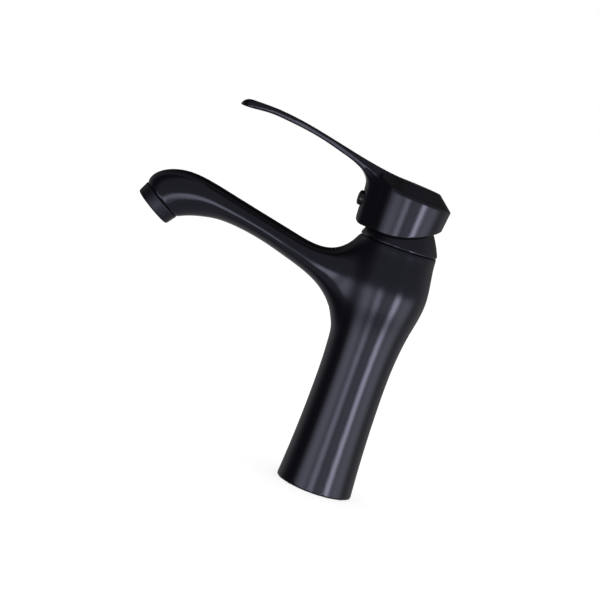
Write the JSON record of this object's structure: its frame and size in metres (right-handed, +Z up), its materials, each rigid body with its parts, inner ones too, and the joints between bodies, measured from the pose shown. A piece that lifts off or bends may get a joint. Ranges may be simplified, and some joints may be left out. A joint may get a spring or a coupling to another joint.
{
  "type": "single-lever bathroom mixer faucet",
  "caption": "Deck-mounted basin mixer: round waisted column, forward spout with a tilted aerator, and a lever that lifts for flow and turns for temperature.",
  "frame": {"origin": "centre of the round base on the plane of the deck", "axes": "+Z up along the column, the spout and the lever point along -Y, +X to the cold side"},
  "size_m": [0.0528, 0.1804, 0.2049],
  "materials": {
    "satin_black_brass": "satin black coat on cast brass",
    "satin_black_zinc": "satin black coat on cast zinc",
    "satin_black_collar": "satin black coat on turned brass",
    "gloss_black_plastic": "gloss black moulded plastic",
    "black_rubber": "matt black nitrile rubber",
    "white_plastic": "moulded acetal",
    "grey_plastic": "moulded glass-filled nylon",
    "white_ceramic": "lapped alumina ceramic",
    "raw_brass": "turned brass",
    "stainless_steel": "stainless steel"
  },
  "bodies": {
    "body": {"body_casting": "satin_black_brass", "column_shank": "satin_black_brass", "inlet_block": "raw_brass", "base_gasket": "black_rubber", "cartridge_base": "white_plastic", "inlet_port_seals": "black_rubber", "disc_port_seals": "black_rubber", "cartridge_housing": "white_plastic", "fixed_ceramic_disc": "white_ceramic", "retaining_nut": "raw_brass", "bonnet_o_ring": "black_rubber", "bonnet_cover": "satin_black_brass", "aerator_housing": "satin_black_collar", "aerator_screen": "stainless_steel", "aerator_core": "white_plastic", "aerator_washer": "black_rubber"},
    "rotor": {"rotor_yoke": "grey_plastic", "pivot_pin": "stainless_steel", "glide_ring": "white_plastic"},
    "disc_carriage": {"moving_ceramic_disc": "white_ceramic", "disc_carrier": "grey_plastic", "carrier_seal": "black_rubber"},
    "handle": {"lever_handle": "satin_black_zinc", "cartridge_stem": "raw_brass", "set_screw": "stainless_steel", "index_plug": "gloss_black_plastic"}
  },
  "joints": [
    {"name": "temperature", "type": "hinge", "parent": "body", "child": "rotor", "pos_m": [0, 0, 0.144], "axis": [0, 0, 1], "range_deg": [-45, 45]},
    {"name": "flow", "type": "hinge", "parent": "rotor", "child": "handle", "pos_m": [0, 0, 0.144], "axis": [-1, 0, 0], "range_deg": [0, 25]},
    {"name": "disc_slide", "type": "slide", "parent": "rotor", "child": "disc_carriage", "axis": [0, -1, 0], "range_m": [0, 0.00325]}
  ],
  "couplings": [
    {"joint": "disc_slide", "follows": "flow", "m_per_rad": 0.0074406}
  ]
}
